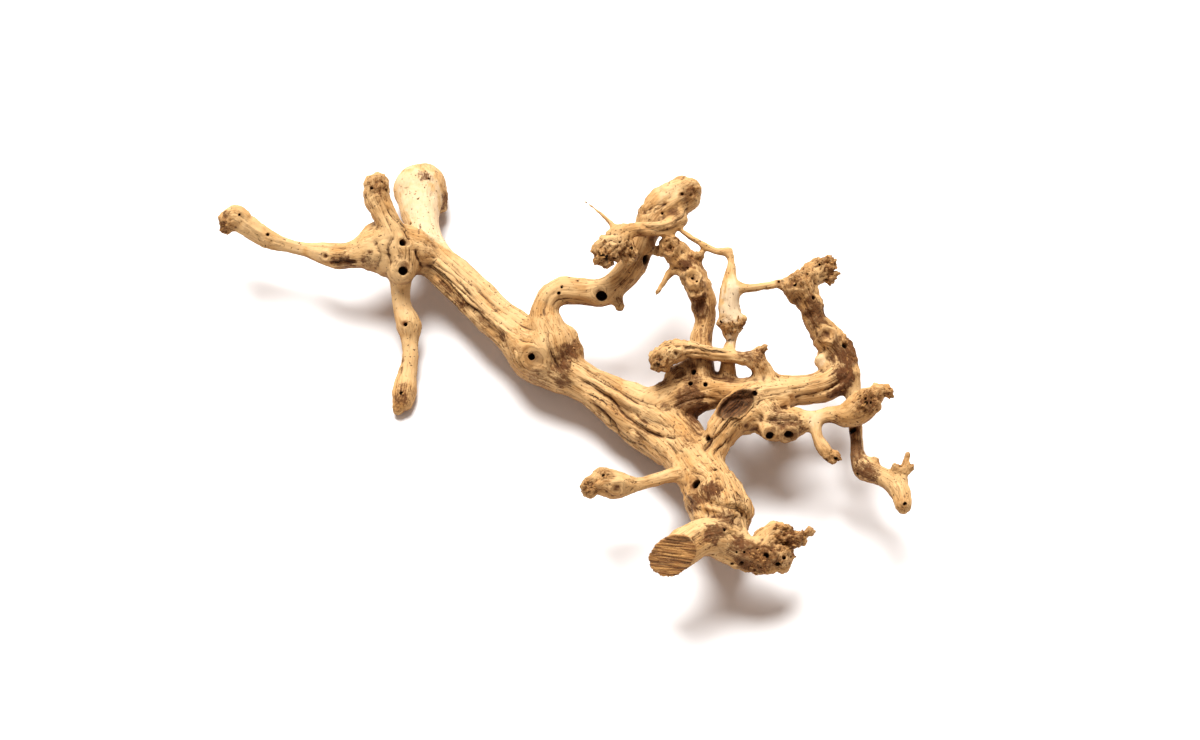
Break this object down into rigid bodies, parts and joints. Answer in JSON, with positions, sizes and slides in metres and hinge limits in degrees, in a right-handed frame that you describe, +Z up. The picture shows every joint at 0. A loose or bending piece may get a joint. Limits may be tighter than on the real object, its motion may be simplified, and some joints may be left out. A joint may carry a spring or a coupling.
{
  "type": "driftwood",
  "caption": "Piece of pale blasted grapevine driftwood: a long leaning trunk with twisted, knotty limbs that loop and fork at one end.",
  "frame": {"origin": "middle of the bounding box's footprint, on the surface the wood stands on", "axes": "+X along the longest extent, towards the looped end; +Y away from the front, towards the butt; +Z up"},
  "size_m": [0.543, 0.4056, 0.1221],
  "materials": {
    "wood": "bare wood, sandblasted and dry, matt"
  },
  "bodies": {
    "root": {"driftwood": "wood"}
  },
  "joints": []
}
